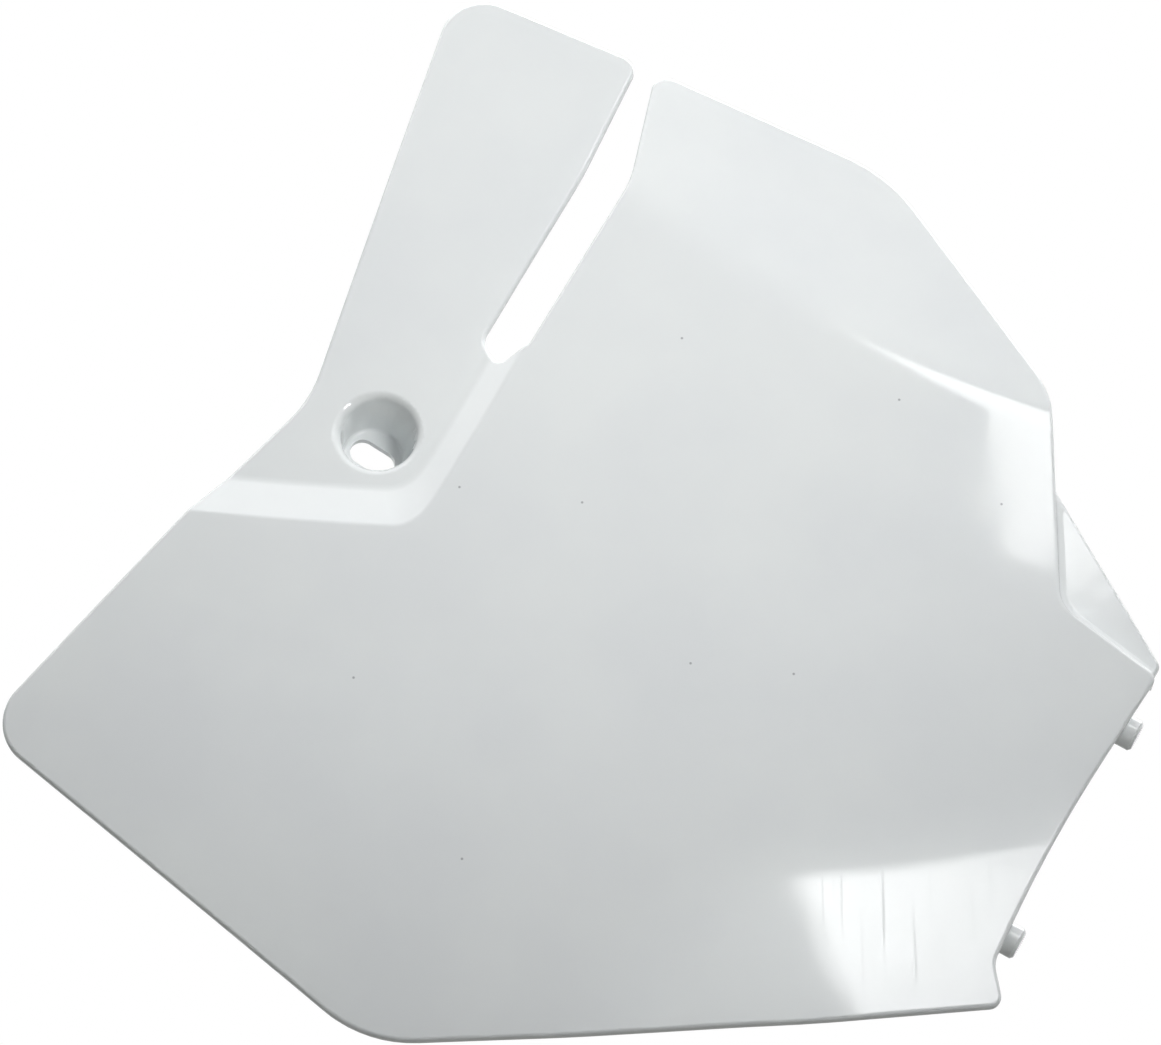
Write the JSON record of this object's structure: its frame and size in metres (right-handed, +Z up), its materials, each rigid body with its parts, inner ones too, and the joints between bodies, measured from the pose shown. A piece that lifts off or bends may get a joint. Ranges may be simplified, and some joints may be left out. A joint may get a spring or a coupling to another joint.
{
  "type": "racing number board",
  "caption": "Crowned glossy side panel with a stepped arm, a screw cup with an oblong hole, a lowered ear and locating pegs; carries the race number on an off-road motorbike",
  "frame": {"origin": "the middle of the screw slot, on the back face of the screw cup, where the frame lug touches", "axes": "X points forward on the bike, Z points up, and the number side faces -Y"},
  "size_m": [0.3193, 0.0372, 0.313],
  "materials": {
    "white_plastic": "glossy moulded polypropylene, plain white"
  },
  "bodies": {
    "root": {"number_board": "white_plastic"}
  },
  "joints": []
}
